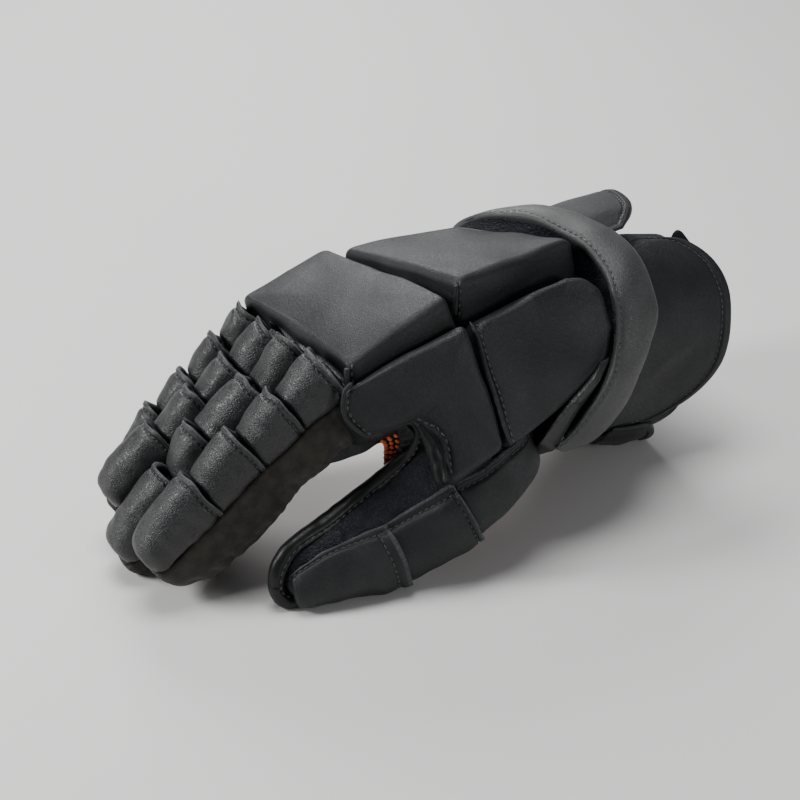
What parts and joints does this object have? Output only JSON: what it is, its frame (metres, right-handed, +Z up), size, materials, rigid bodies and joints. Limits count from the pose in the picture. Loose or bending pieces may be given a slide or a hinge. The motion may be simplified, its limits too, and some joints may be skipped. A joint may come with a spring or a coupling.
{
  "type": "historical fencing glove",
  "caption": "Black padded leather glove for historical fencing, right hand, with stitched pads along the fingers, blocks on the back of the hand, a wrist band and an overlapping cuff.",
  "frame": {"origin": "middle of the glove's bounding box seen from above, on the surface that it lies on", "axes": "+X out of the cuff, so the fingers point to -X; +Y to the little finger's side, with the thumb at -Y; +Z up, from the palm to the back of the hand"},
  "size_m": [0.2996, 0.1523, 0.1232],
  "materials": {
    "leather": "pebbled grain, soft sheen",
    "smooth_leather": "fine grain, soft sheen",
    "suede": "matt suede",
    "lining": "matt dark cloth",
    "grip": "matt cloth with small raised orange dots"
  },
  "bodies": {
    "root": {"index_stall": "suede", "index_pad_1": "leather", "index_pad_2": "leather", "index_pad_3": "leather", "index_pad_4": "leather", "middle_stall": "suede", "middle_pad_1": "leather", "middle_pad_2": "leather", "middle_pad_3": "leather", "middle_pad_4": "leather", "ring_stall": "suede", "ring_pad_1": "leather", "ring_pad_2": "leather", "ring_pad_3": "leather", "ring_pad_4": "leather", "little_stall": "suede", "little_pad_1": "leather", "little_pad_2": "leather", "little_pad_3": "leather", "little_pad_4": "leather", "thumb_stall": "leather", "palm_shell": "leather", "wrist_sleeve": "lining", "thumb_pad_1": "smooth_leather", "thumb_pad_2": "smooth_leather", "thumb_pad_3": "smooth_leather", "thumb_inner_panel": "lining", "thumb_binding": "smooth_leather", "leg_roll": "smooth_leather", "knuckle_block": "smooth_leather", "back_block": "smooth_leather", "side_block": "smooth_leather", "wrist_block": "smooth_leather", "wrist_gusset": "leather", "wrist_band": "smooth_leather", "thumb_side_flap": "leather", "little_side_flap": "leather", "pull_tab": "lining", "palm_grip": "grip"}
  },
  "joints": []
}
